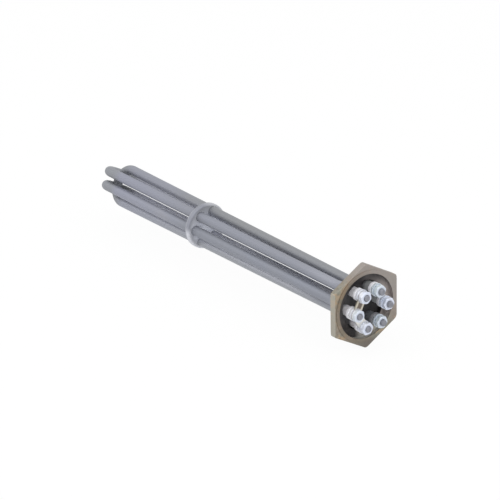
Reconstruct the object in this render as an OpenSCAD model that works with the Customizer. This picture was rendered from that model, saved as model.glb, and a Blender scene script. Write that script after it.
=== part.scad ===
// Screw plug immersion heater: three hairpin heating elements brazed into a hexagon screw plug.
// The axis of the plug is X, from the tips of the elements (-X) to the terminals (+X).
// The origin lies on that axis, in the seating face behind the hexagon. Z is up, through a corner.

/* [Screw plug] */
// Width of the hexagon across its flats
hex_across_flats = 60; // [58:1:72]
// Thickness of the hexagon, from the seating face to its front face
hex_thickness = 5.5; // [5:0.5:10]
// Height of the turned ring in front of the hexagon
ring_height = 0.5; // [0.4:0.1:1.4]
// Width of the hexagon's flats that stays outside the turned ring
ring_margin = 1.4; // [1.2:0.2:3]
// Corner chamfer of the hexagon, measured along the axis
hex_chamfer = 0.7; // [0.4:0.1:1.2]
// Diameter of the terminal recess at its mouth
recess_diameter = 51.4; // [48:0.2:52]
// Depth of the wide part of the recess, from the turned ring
recess_depth = 4; // [3:0.5:4.5]
// Diameter of the screw thread over its crests
thread_diameter = 45; // [44:0.5:47]
// Length of the screw thread behind the seating face
thread_length = 7.5; // [6.5:0.5:14]
// Lead-in chamfer at the end of the thread
thread_chamfer = 0.8; // [0.5:0.1:1.2]
// Wall left between the thread's crests and the well inside it
thread_wall = 2.8; // [2.4:0.1:3]
// Thickness of the tube sheet that the elements are brazed into
tube_sheet = 3.5; // [3:0.5:4.5]

/* [Heating elements] */
// Outside diameter of the element sheath
sheath_diameter = 8; // [7:0.1:8.2]
// Wall thickness of the sheath
sheath_wall = 0.8; // [0.6:0.1:1]
// Turn of the elements about the axis, from the hexagon's flat
element_turn = 3; // [0:1:10]
// Circle through the element axes along the bundle
bundle_circle = 23.2; // [22.8:0.2:24.4]
// Circle through the element axes in the plug
terminal_circle = 29.6; // [28.6:0.2:29.8]
// Length of the slope from one circle to the other
joggle_length = 12; // [11:0.5:15]
// Straight length from the end of the thread to the slope
joggle_lead = 1.5; // [1:0.5:3]
// Distance from the seating face to the bend centre of the upper hairpin
upper_reach = 319.5; // [316:0.5:420]
// Distance from the seating face to the bend centre of the lower hairpin
lower_reach = 317; // [314:0.5:420]
// Distance from the seating face to the bend centre of the cross hairpin
cross_reach = 306; // [240:0.5:310]
// Outward lean of the two legs of the cross hairpin, in degrees
cross_splay = 0.45; // [0:0.05:0.5]
// Gap round the sheath in the tube sheet, filled when brazing
braze_gap = 0.05; // [0.02:0.01:0.1]
// Distance from the seating face to the open end of each sheath
sheath_end = 5.4; // [4.4:0.2:6]
// Length of the cold pins behind the seating face
cold_length = 60; // [40:5:90]
// Diameter of the cold pins
cold_pin_diameter = 3.2; // [2.6:0.1:3.6]
// Outside diameter of the wound heating coil
coil_diameter = 4.2; // [3.6:0.1:4.8]

/* [Support plate] */
// Distance from the seating face to the front of the support plate
plate_reach = 195; // [120:1:240]
// Outside diameter of the support plate
plate_diameter = 37.6; // [37.4:0.2:39.6]
// Sheet thickness of the support plate
plate_sheet = 1.2; // [0.8:0.1:1.4]
// Depth of the rim turned back from the support plate
plate_rim = 4; // [4:0.5:8]
// Outside radius of the turned edge
plate_edge = 1.6; // [1.5:0.1:2]
// Gap round each element in the support plate
plate_gap = 0.15; // [0.1:0.05:0.25]

/* [Terminals] */
// Diameter of the terminal studs over the thread
stud_diameter = 5; // [4.4:0.1:5.2]
// Distance from the seating face to the stud tips
stud_reach = 17.4; // [17:0.2:22]
// Chamfer at the stud tips
stud_chamfer = 0.5; // [0.3:0.1:0.7]
// Diameter of the flange of the insulating bush
bush_diameter = 10; // [9.4:0.1:10.6]
// Thickness of the flange of the insulating bush
bush_flange = 2.6; // [2:0.1:3]
// Depth of the insulating bush inside the sheath
bush_depth = 4; // [3:0.5:6]
// Width of the terminal nuts across their flats
nut_across_flats = 9; // [8.6:0.1:9.6]
// Thickness of the clamp nut under the washers
clamp_nut_height = 2; // [1.6:0.1:2.4]
// Thickness of the outer terminal nut
terminal_nut_height = 3.2; // [2.8:0.1:3.4]
// Corner chamfer of the nuts, measured along the axis
nut_chamfer = 0.5; // [0.3:0.1:0.7]
// Diameter of the flat washers
washer_diameter = 10.4; // [9.6:0.1:11]
// Thickness of the flat washers
washer_height = 1; // [0.8:0.1:1.2]
// Diameter of the lock washers
lock_washer_diameter = 8.4; // [8:0.1:9]
// Thickness of the lock washers
lock_washer_height = 0.9; // [0.7:0.1:1]
// Width of the cut through each lock washer
lock_washer_cut = 1; // [0.6:0.1:1.4]
// Thickness of the star link
link_height = 1; // [0.8:0.1:1.2]
// Width of the star link between two terminals
link_width = 7.4; // [6:0.2:8.8]
// Diameter of the eyes of the star link
link_eye = 9.4; // [9:0.1:10.4]
// Gap round the studs in washers, link and bushes
stud_gap = 0.15; // [0.1:0.05:0.25]
// Gap round the studs in the nuts
nut_gap = 0.03; // [0.02:0.01:0.05]

/* [Sealing compound] */
// Thickness of the compound over the tube sheet
compound_height = 1.6; // [1:0.2:3]

/* [Hidden] */
$fn = 96;

// A little more than any cut needs
over = 1;
// Directions of the six terminals about the axis, from +Y towards +Z
turn_1 = 120 + element_turn;
turn_2 = 60 + element_turn;
turn_3 = element_turn;
turn_4 = 180 + element_turn;
turn_5 = 240 + element_turn;
turn_6 = 300 + element_turn;
turns = [turn_1, turn_2, turn_3, turn_4, turn_5, turn_6];
linked_turns = [turn_1, turn_4, turn_5];
free_turns = [turn_2, turn_3, turn_6];

// Sizes of the plug
hex_corner = hex_across_flats / sqrt(3);
ring_radius = hex_across_flats / 2 - ring_margin;
plug_front = hex_thickness + ring_height;
ledge_x = plug_front - recess_depth;
well_radius = thread_diameter / 2 - thread_wall;
well_floor = tube_sheet - thread_length;

// Sizes of the element path
sheath_radius = sheath_diameter / 2;
bore_radius = sheath_radius - sheath_wall;
bundle_radius = bundle_circle / 2;
terminal_radius = terminal_circle / 2;
joggle_step = terminal_radius - bundle_radius;
joggle_slope = atan(joggle_step / joggle_length);
joggle_x = -thread_length - joggle_lead;
joggle_end = joggle_x - joggle_length;
long_bend = bundle_radius * sin(60);
plane_offset = bundle_radius * cos(60);
// How far a knuckle or collar stands proud where two lengths of a path join
join_proud = 0.02;
// Half the length of such a collar
join_half = 0.3;
// How far short of a bend a straight length stops, inside its collar
join_short = 0.05;

// Radius of a leg at a place along the axis, for a leg that leans outward by an angle
function leg_y(lean, x) = bundle_radius + (joggle_end - x) * tan(lean);
// Length of the straight leg up to a place along the axis
function leg_length(lean, x) = (joggle_end - x) / cos(lean);

cross_bend = bundle_radius * cos(cross_splay) + (joggle_end + cross_reach) * sin(cross_splay);
cross_straight = (joggle_end + cross_reach) * cos(cross_splay) - bundle_radius * sin(cross_splay);

// Heights in the stack on each stud
bush_top = sheath_end + bush_flange;
clamp_nut_top = bush_top + clamp_nut_height;
washer_top = clamp_nut_top + washer_height;
link_top = washer_top + link_height;
stud_radius = stud_diameter / 2;
plate_back = -plate_reach - plate_rim;

// A rod along +X, from x
module rod(x, length, radius) {
  translate([x, 0, 0])
    rotate([0, 90, 0])
      cylinder(h = length, r = radius);
}

// A turned solid about X: the profile's first size is the radius, its second the place along X
module turned() {
  rotate([0, 90, 0])
    rotate_extrude()
      children();
}

// Puts what is drawn on the axis on the terminal circle
module at_terminal(turn) {
  rotate([turn, 0, 0])
    translate([0, terminal_radius, 0])
      children();
}

// The plugward end of one leg: straight through the plug, then sloping in to the bundle circle
module leg_start(radius, front) {
  translate([0, terminal_radius, 0])
    rod(joggle_x, front - joggle_x, radius);
  translate([joggle_x, terminal_radius, 0]) {
    sphere(r = radius + join_proud);
    rotate([0, 0, 180 + joggle_slope])
      rod(0, joggle_length / cos(joggle_slope), radius);
  }
  translate([joggle_end, bundle_radius, 0])
    sphere(r = radius + join_proud);
}

// The straight part of one leg, from the slope or from further on
module leg_straight(radius, lean, skip, length) {
  translate([joggle_end, bundle_radius, 0])
    rotate([0, 0, 180 - lean])
      rod(skip, length - skip, radius);
}

// The straight part of one leg with the collar that joins it to a bend
module leg_to_bend(radius, lean, skip, length) {
  leg_straight(radius, lean, skip, length - join_short);
  leg_straight(radius + join_proud, lean, length - join_half, length + join_half);
}

// A half turn of a rod, in the plane of X and Y, bulging towards -X
module half_turn(bend, radius, lean) {
  rotate([0, 0, 90 - lean])
    rotate_extrude(angle = 180 + 2 * lean)
      translate([bend, 0])
        circle(r = radius);
}

// The path of a long hairpin, its middle towards the given direction
module long_path(turn, reach, radius, front) {
  for (side = [-60, 60])
    rotate([turn + side, 0, 0]) {
      leg_start(radius, front);
      leg_to_bend(radius, 0, 0, leg_length(0, -reach));
    }
  rotate([turn, 0, 0])
    translate([-reach, plane_offset, 0])
      rotate([90, 0, 0])
        half_turn(long_bend, radius, 0);
}

// The path of the cross hairpin
module cross_path(radius, front) {
  for (turn = [turn_2, turn_5])
    rotate([turn, 0, 0]) {
      leg_start(radius, front);
      leg_to_bend(radius, cross_splay, 0, cross_straight);
    }
  rotate([turn_2, 0, 0])
    translate([-cross_reach, 0, 0])
      half_turn(cross_bend, radius, cross_splay);
}

// The hot part of a long hairpin, between its two cold pins
module long_hot(turn, reach, radius) {
  for (side = [-60, 60])
    rotate([turn + side, 0, 0])
      leg_to_bend(radius, 0, leg_length(0, -cold_length), leg_length(0, -reach));
  rotate([turn, 0, 0])
    translate([-reach, plane_offset, 0])
      rotate([90, 0, 0])
        half_turn(long_bend, radius, 0);
}

// The hot part of the cross hairpin
module cross_hot(radius) {
  for (turn = [turn_2, turn_5])
    rotate([turn, 0, 0])
      leg_to_bend(radius, cross_splay, leg_length(cross_splay, -cold_length), cross_straight);
  rotate([turn_2, 0, 0])
    translate([-cross_reach, 0, 0])
      half_turn(cross_bend, radius, cross_splay);
}

// The cold pin inside one leg, with its front at the foot of the bush
module cold_pin(turn, lean, front) {
  rotate([turn, 0, 0]) {
    leg_start(cold_pin_diameter / 2, front);
    leg_straight(cold_pin_diameter / 2, lean, 0, leg_length(lean, -cold_length));
  }
}

function lean_of(turn) = (turn == turn_2 || turn == turn_5) ? cross_splay : 0;

// A hexagon with both rims chamfered, standing on x
module chamfered_hexagon(x, height, across, chamfer) {
  corner = across / sqrt(3);
  intersection() {
    translate([x, 0, 0])
      rotate([0, 90, 0])
        cylinder(h = height, r = corner, $fn = 6);
    turned()
      polygon([[0, x], [corner - 2 * chamfer, x], [corner + 0.2, x + chamfer + 0.1],
        [corner + 0.2, x + height - chamfer - 0.1], [corner - 2 * chamfer, x + height], [0, x + height]]);
  }
}

module screw_plug() {
  color("goldenrod")
    difference() {
      union() {
        chamfered_hexagon(0, hex_thickness, hex_across_flats, hex_chamfer);
        rod(hex_thickness - over, ring_height + over, ring_radius);
        turned()
          polygon([[0, over], [thread_diameter / 2, over], [thread_diameter / 2, thread_chamfer - thread_length],
            [thread_diameter / 2 - thread_chamfer, -thread_length], [0, -thread_length]]);
      }
      rod(ledge_x, recess_depth + over, recess_diameter / 2);
      rod(well_floor, ledge_x - well_floor + over, well_radius);
      for (turn = turns)
        at_terminal(turn)
          rod(-thread_length - over, thread_length + well_floor + 2 * over, sheath_radius + braze_gap);
    }
}

module long_sheath(turn, reach) {
  color("lightslategray")
    difference() {
      long_path(turn, reach, sheath_radius, sheath_end);
      long_path(turn, reach, bore_radius, sheath_end + over);
    }
}

module hairpin_upper() {
  long_sheath(turn_2, upper_reach);
}

module hairpin_lower() {
  long_sheath(turn_5, lower_reach);
}

module hairpin_cross() {
  color("lightslategray")
    difference() {
      cross_path(sheath_radius, sheath_end);
      cross_path(bore_radius, sheath_end + over);
    }
}

module long_powder(turn, reach) {
  color("white")
    difference() {
      long_path(turn, reach, bore_radius, sheath_end - bush_depth);
      long_hot(turn, reach, coil_diameter / 2);
      cold_pin(turn - 60, 0, sheath_end);
      cold_pin(turn + 60, 0, sheath_end);
    }
}

module powder_upper() {
  long_powder(turn_2, upper_reach);
}

module powder_lower() {
  long_powder(turn_5, lower_reach);
}

module powder_cross() {
  color("white")
    difference() {
      cross_path(bore_radius, sheath_end - bush_depth);
      cross_hot(coil_diameter / 2);
      cold_pin(turn_2, cross_splay, sheath_end);
      cold_pin(turn_5, cross_splay, sheath_end);
    }
}

module coil_upper() {
  color("dimgray")
    long_hot(turn_2, upper_reach, coil_diameter / 2);
}

module coil_lower() {
  color("dimgray")
    long_hot(turn_5, lower_reach, coil_diameter / 2);
}

module coil_cross() {
  color("dimgray")
    cross_hot(coil_diameter / 2);
}

module terminal_pin(turn) {
  color("silver")
    union() {
      cold_pin(turn, lean_of(turn), sheath_end + over);
      at_terminal(turn)
        turned()
          polygon([[0, sheath_end], [stud_radius, sheath_end], [stud_radius, stud_reach - stud_chamfer],
            [stud_radius - stud_chamfer, stud_reach], [0, stud_reach]]);
    }
}

module insulator(turn) {
  pin_bore = cold_pin_diameter / 2 + stud_gap;
  stud_bore = stud_radius + stud_gap;
  color("ivory")
    at_terminal(turn)
      turned()
        polygon([[pin_bore, sheath_end - bush_depth], [bore_radius - braze_gap, sheath_end - bush_depth],
          [bore_radius - braze_gap, sheath_end], [bush_diameter / 2, sheath_end],
          [bush_diameter / 2, bush_top], [stud_bore, bush_top],
          [stud_bore, sheath_end - stud_gap], [pin_bore, sheath_end - stud_gap]]);
}

module sealing_compound() {
  color("black")
    difference() {
      rod(well_floor, compound_height, well_radius);
      for (turn = turns)
        at_terminal(turn)
          rod(well_floor - over, compound_height + 2 * over, sheath_radius);
    }
}

module support_plate() {
  plate_radius = plate_diameter / 2;
  inner_edge = plate_edge - plate_sheet;
  color("slategray")
    difference() {
      turned()
        difference() {
          union() {
            translate([0, plate_back])
              square([plate_radius, plate_rim - plate_edge]);
            translate([0, plate_back])
              square([plate_radius - plate_edge, plate_rim]);
            intersection() {
              translate([plate_radius - plate_edge, -plate_reach - plate_edge])
                circle(r = plate_edge);
              translate([plate_radius - plate_edge - inner_edge, -plate_reach - plate_edge - inner_edge])
                square(2 * plate_edge);
            }
          }
          translate([-over, plate_back - over])
            square([plate_radius - plate_sheet + over, plate_rim - plate_sheet + over]);
        }
      for (turn = [turn_1, turn_3, turn_4, turn_6])
        rotate([turn, 0, 0])
          translate([0, bundle_radius, 0])
            rod(-plate_reach - plate_sheet - over, plate_sheet + 2 * over, sheath_radius + plate_gap);
      for (turn = [turn_2, turn_5])
        rotate([turn, 0, 0])
          translate([0, leg_y(cross_splay, -plate_reach - plate_sheet / 2), 0])
            rod(-plate_reach - plate_sheet - over, plate_sheet + 2 * over, sheath_radius + plate_gap);
    }
}

// One bar of the star link, between neighbouring terminals
module link_bar(turn) {
  rotate(turn + 30)
    translate([terminal_radius * cos(30) - link_width / 2, -terminal_radius / 2])
      square([link_width, terminal_radius]);
}

module star_link() {
  color("peru")
    translate([washer_top, 0, 0])
      rotate([90, 0, 90])
        linear_extrude(height = link_height)
          difference() {
            union() {
              link_bar(turn_1);
              link_bar(turn_4);
              for (turn = linked_turns)
                rotate(turn)
                  translate([terminal_radius, 0])
                    circle(d = link_eye);
            }
            for (turn = linked_turns)
              rotate(turn)
                translate([terminal_radius, 0])
                  circle(r = stud_radius + stud_gap);
          }
}

// One nut on the axis, standing on x
module nut(x, height) {
  difference() {
    chamfered_hexagon(x, height, nut_across_flats, nut_chamfer);
    rod(x - over, height + 2 * over, stud_radius + nut_gap);
  }
}

// One washer on the axis, standing on x
module washer(x, height, diameter) {
  difference() {
    rod(x, height, diameter / 2);
    rod(x - over, height + 2 * over, stud_radius + stud_gap);
  }
}

// One lock washer on the axis, cut through on one side
module lock_washer(x) {
  difference() {
    washer(x, lock_washer_height, lock_washer_diameter);
    translate([x - over, 0, -lock_washer_cut / 2])
      cube([lock_washer_height + 2 * over, lock_washer_diameter, lock_washer_cut]);
  }
}

module clamp_nuts() {
  color("gainsboro")
    for (turn = turns)
      at_terminal(turn)
        nut(bush_top, clamp_nut_height);
}

module flat_washers() {
  color("gainsboro")
    for (turn = turns)
      at_terminal(turn)
        washer(clamp_nut_top, washer_height, washer_diameter);
}

module lock_washers() {
  color("gainsboro") {
    for (turn = linked_turns)
      at_terminal(turn)
        lock_washer(link_top);
    for (turn = free_turns)
      at_terminal(turn)
        lock_washer(washer_top);
  }
}

module terminal_nuts() {
  color("gainsboro") {
    for (turn = linked_turns)
      at_terminal(turn)
        nut(link_top + lock_washer_height, terminal_nut_height);
    for (turn = free_turns)
      at_terminal(turn)
        nut(washer_top + lock_washer_height, terminal_nut_height);
  }
}

screw_plug();
hairpin_upper();
hairpin_lower();
hairpin_cross();
powder_upper();
powder_lower();
powder_cross();
coil_upper();
coil_lower();
coil_cross();
terminal_pin(turn_1);  // terminal_pin_1
terminal_pin(turn_2);  // terminal_pin_2
terminal_pin(turn_3);  // terminal_pin_3
terminal_pin(turn_4);  // terminal_pin_4
terminal_pin(turn_5);  // terminal_pin_5
terminal_pin(turn_6);  // terminal_pin_6
insulator(turn_1);  // insulator_1
insulator(turn_2);  // insulator_2
insulator(turn_3);  // insulator_3
insulator(turn_4);  // insulator_4
insulator(turn_5);  // insulator_5
insulator(turn_6);  // insulator_6
sealing_compound();
support_plate();
star_link();
clamp_nuts();
flat_washers();
lock_washers();
terminal_nuts();
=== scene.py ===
import math

import bmesh
import bpy
from mathutils import Matrix, Vector, noise


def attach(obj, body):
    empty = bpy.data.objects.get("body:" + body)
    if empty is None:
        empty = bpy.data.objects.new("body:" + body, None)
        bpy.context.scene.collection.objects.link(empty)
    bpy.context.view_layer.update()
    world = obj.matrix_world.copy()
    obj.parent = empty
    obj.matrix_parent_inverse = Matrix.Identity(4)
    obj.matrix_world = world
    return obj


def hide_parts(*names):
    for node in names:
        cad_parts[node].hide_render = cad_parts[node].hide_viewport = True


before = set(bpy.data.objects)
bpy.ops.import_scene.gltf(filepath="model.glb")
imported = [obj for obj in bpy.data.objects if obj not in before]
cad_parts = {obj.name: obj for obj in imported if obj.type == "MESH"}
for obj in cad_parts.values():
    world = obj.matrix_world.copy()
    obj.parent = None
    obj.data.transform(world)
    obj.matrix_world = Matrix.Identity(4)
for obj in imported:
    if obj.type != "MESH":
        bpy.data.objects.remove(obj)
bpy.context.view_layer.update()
mm = 0.001
print("frame loaded:", len(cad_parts), "solids")


# shader maths: a socket that can be added, multiplied and so on

class Wire:
    def __init__(self, nodes, socket):
        self.nodes = nodes
        self.socket = socket

    def math(self, operation, first, second=0.0):
        return self.nodes.add("ShaderNodeMath", {"operation": operation}, {0: first, 1: second})

    def __add__(self, other):
        return self.math("ADD", self, other)

    def __radd__(self, other):
        return self.math("ADD", other, self)

    def __sub__(self, other):
        return self.math("SUBTRACT", self, other)

    def __rsub__(self, other):
        return self.math("SUBTRACT", other, self)

    def __mul__(self, other):
        return self.math("MULTIPLY", self, other)

    def __rmul__(self, other):
        return self.math("MULTIPLY", other, self)

    def __pow__(self, other):
        return self.math("POWER", self, other)

    def __rpow__(self, other):
        return self.math("POWER", other, self)

    def size(self):
        return self.math("ABSOLUTE", self)

    def clip(self):
        return self.nodes.add("ShaderNodeClamp", {}, {0: self})

    # 0 at the first value and the share at the second, smooth between them
    def ramp(self, low, high, share=1.0):
        return self.nodes.add("ShaderNodeMapRange", {"interpolation_type": "SMOOTHSTEP"},
                              {"Value": self, "From Min": low, "From Max": high, "To Max": share})


class Nodes:
    def __init__(self, tree):
        self.tree = tree

    # any node: its type, its settings, then the values or links of its sockets
    def add(self, kind, settings, inputs, out=0):
        node = self.tree.nodes.new(kind)
        for key, value in settings.items():
            setattr(node, key, value)
        for key, value in inputs.items():
            self.feed(node.inputs[key], value)
        return Wire(self, node.outputs[out])

    def feed(self, socket, value):
        if isinstance(value, Wire):
            self.tree.links.new(value.socket, socket)
        elif isinstance(value, tuple) and socket.type == "RGBA":
            socket.default_value = (*value, 1.0)
        else:
            socket.default_value = value


class Finish(Nodes):
    def __init__(self, name):
        self.material = bpy.data.materials.new(name)
        self.material.use_nodes = True
        super().__init__(self.material.node_tree)
        self.shader = self.tree.nodes["Principled BSDF"]
        self.place = self.add("ShaderNodeTexCoord", {}, {}, "Object")
        self.x, self.y, self.z = (self.split(self.place, axis) for axis in "XYZ")

    def split(self, vector, axis):
        return self.add("ShaderNodeSeparateXYZ", {}, {0: vector}, axis)

    # noise on the piece, drawn out along X when the stretch is small there
    def cloud(self, scale, detail, rough=0.55, warp=0.0, stretch=None):
        spot = self.place
        if stretch:
            spot = self.add("ShaderNodeVectorMath", {"operation": "MULTIPLY"}, {0: spot, 1: stretch})
        return self.add("ShaderNodeTexNoise", {}, {"Vector": spot, "Scale": scale, "Detail": detail,
                                                   "Roughness": rough, "Distortion": warp})

    def mix(self, amount, first, second):
        return self.add("ShaderNodeMix", {"data_type": "RGBA"}, {"Factor": amount, 6: first, 7: second}, 2)

    def bump(self, height, strength, distance):
        return self.add("ShaderNodeBump", {}, {"Strength": strength, "Distance": distance, "Height": height})

    # distance from the axis of the plug
    def out(self):
        return (self.y * self.y + self.z * self.z) ** 0.5

    # how squarely the surface faces along the plug
    def faceOn(self):
        return self.split(self.add("ShaderNodeNewGeometry", {}, {}, "Normal"), "X")

    # the share near a spot, and 0 past a distance from it
    def near(self, spot, inner, outer, share):
        away = self.add("ShaderNodeVectorMath", {"operation": "DISTANCE"}, {0: self.place, 1: spot}, "Value")
        return away.ramp(outer, inner, share)

    # another tone at some of the terminals, each with its own share
    def atTerminals(self, tone, marks):
        for k, share in marks["shares"].items():
            spot = radial(marks["x"], layout["terminalRadius"] * mm, turns[k])
            tone = self.mix(self.near(spot, *marks["reach"], share), tone, marks["tone"])
        return tone

    def set(self, sockets):
        for name, value in sockets.items():
            self.feed(self.shader.inputs[name], value)
        return self.material


# places shared by the pieces, in mm and degrees, as in the solids

layout = {"turns": {1: 123, 2: 63, 3: 3, 4: 183, 5: 243, 6: 303}, "terminalRadius": 14.8,
          "bundleRadius": 11.6, "linked": (1, 4, 5), "crossed": (2, 5), "sheathEnd": 5.4, "bushTop": 8.0,
          "clampTop": 10.0, "washerTop": 11.0, "linkTop": 12.0, "studTip": 17.4, "wellFloor": -4.0,
          "compoundTop": -2.4}
turns = layout["turns"]


def radial(x, r, degrees):
    a = math.radians(degrees)
    return (x, r * math.cos(a), r * math.sin(a))


def onTerminal(k):
    return radial(0.0, layout["terminalRadius"], turns[k])[1:]


# meshes

def keepMesh(name, form, material, sharp=35.0):
    mesh = bpy.data.meshes.new(name)
    mesh.from_pydata([tuple(c * mm for c in v) for v in form[0]], [], form[1])
    bm = bmesh.new()
    bm.from_mesh(mesh)
    bmesh.ops.recalc_face_normals(bm, faces=bm.faces)
    bm.to_mesh(mesh)
    bm.free()
    mesh.materials.append(material)
    piece = bpy.data.objects.new(name, mesh)
    bpy.context.scene.collection.objects.link(piece)
    smooth(piece, sharp)
    return piece


def smooth(piece, sharp):
    piece.data.shade_smooth()
    piece.data.set_sharp_from_angle(angle=math.radians(sharp))


# several forms as one
def gather(forms):
    verts, faces = [], []
    for v, f in forms:
        faces += [tuple(i + len(verts) for i in face) for face in f]
        verts += v
    return verts, faces


# rings is a list of functions of the angle, each giving (x, radius)
def polarForm(rings, sides, centre=(0.0, 0.0), turn=0.0, closed=False):
    verts, faces = [], []
    for ring in rings:
        for k in range(sides):
            a = 2 * math.pi * k / sides
            x, r = ring(a)
            verts.append((x, centre[0] + r * math.cos(a + turn), centre[1] + r * math.sin(a + turn)))
    count = len(rings)
    for i in range(count if closed else count - 1):
        j = (i + 1) % count
        for k in range(sides):
            n = (k + 1) % sides
            faces.append((i * sides + k, i * sides + n, j * sides + n, j * sides + k))
    if not closed:
        faces.append(tuple(range(sides)))
        faces.append(tuple((count - 1) * sides + k for k in range(sides)))
    return verts, faces


def ringAt(x, r):
    return lambda a: (x, r)


def turnedForm(profile, sides, centre=(0.0, 0.0), closed=False):
    return polarForm([ringAt(x, r) for x, r in profile], sides, centre, closed=closed)


def rodForm(low, high, radius, sides, centre):
    return turnedForm([(low, radius), (high, radius)], sides, centre)


# a profile with some of its corners rounded
def softProfile(points, sizes, closed=False, steps=4):
    out = []
    count = len(points)
    for i, size in enumerate(sizes):
        corner = Vector(points[i])
        if size <= 0 or (not closed and i in (0, count - 1)):
            out.append(points[i])
            continue
        before = (Vector(points[i - 1]) - corner).normalized() * size
        after = (Vector(points[(i + 1) % count]) - corner).normalized() * size
        for k in range(steps + 1):
            t = k / steps
            out.append(tuple(corner + before * (1 - t) ** 2 + after * t * t))
    return out


def hexRadius(across, a):
    step = math.pi / 3
    return across / 2 / math.cos((a + step / 2) % step - step / 2)


# how far an edge of the given rounding draws back at a depth below its face
def edgeBack(depth, rounding):
    left = max(0.0, rounding - depth)
    return rounding - math.sqrt(max(0.0, rounding * rounding - left * left))


# a section of a hexagon at a depth below its nearer face, with its corners turned off by a cone
def hexRing(size, x, depth):
    corner = size["across"] / math.sqrt(3)
    drop = 2 * size["chamfer"]
    cone = corner - drop + depth * (drop + size["coneRise"]) / (size["chamfer"] + size["coneRun"])
    limit = min(cone, corner - size["trim"])
    back = edgeBack(depth, size["round"])
    return lambda a: (x, min(hexRadius(size["across"], a), limit) - back)


threadShape = {"slope": 1.35, "rootFlat": 0.12}


# thread height from 0 at the root to 1 at the crest
def threadWave(x, a, pitch):
    t = (x / pitch - a / (2 * math.pi)) % 1.0
    return max(0.0, min(1.0, threadShape["slope"] * (1 - abs(2 * t - 1)) - threadShape["rootFlat"]))


def sweepForm(path, radius, sides):
    points = [Vector(p) for p in path]
    verts, faces = [], []
    tangent = (points[1] - points[0]).normalized()
    side = tangent.orthogonal().normalized()
    for i, p in enumerate(points):
        ahead = (points[min(i + 1, len(points) - 1)] - points[max(i - 1, 0)]).normalized()
        side = (tangent.rotation_difference(ahead) @ side).normalized()
        tangent = ahead
        other = tangent.cross(side)
        for k in range(sides):
            a = 2 * math.pi * k / sides
            verts.append(tuple(p + (side * math.cos(a) + other * math.sin(a)) * radius))
    for i in range(len(points) - 1):
        for k in range(sides):
            n = (k + 1) % sides
            faces.append((i * sides + k, i * sides + n, (i + 1) * sides + n, (i + 1) * sides + k))
    faces.append(tuple(range(sides)))
    faces.append(tuple((len(points) - 1) * sides + k for k in range(sides)))
    return verts, faces


carving = {"segments": 3, "sharpest": 40.0}


# cuts or joins a closed form, then rounds the sharp edges where a rounding is given
def carve(piece, form, operation, sharp, rounding=0.0):
    tool = keepMesh("carvingTool", form, piece.data.materials[0])
    step = piece.modifiers.new("carve", "BOOLEAN")
    step.operation = operation
    step.solver = "EXACT"
    step.use_self = operation == "UNION"
    step.object = tool
    if rounding:
        bevel = piece.modifiers.new("round", "BEVEL")
        bevel.width = rounding * mm
        bevel.segments = carving["segments"]
        bevel.limit_method = "ANGLE"
        bevel.angle_limit = math.radians(carving["sharpest"])
    made = bpy.data.meshes.new_from_object(piece.evaluated_get(bpy.context.evaluated_depsgraph_get()))
    piece.modifiers.clear()
    piece.data = made
    bpy.data.objects.remove(tool)
    smooth(piece, sharp)


def fit(piece, slot, *nodes):
    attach(piece, "root")
    if nodes:
        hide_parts(*nodes)
    return piece


# in every look, a band holds where a tone starts, where it is full and how much of it shows
# the places in a look are in metres, and a cloud is scale, detail, roughness, distortion and stretch

# screw plug: hexagon, turned ring, recess, well and a cut thread

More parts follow.
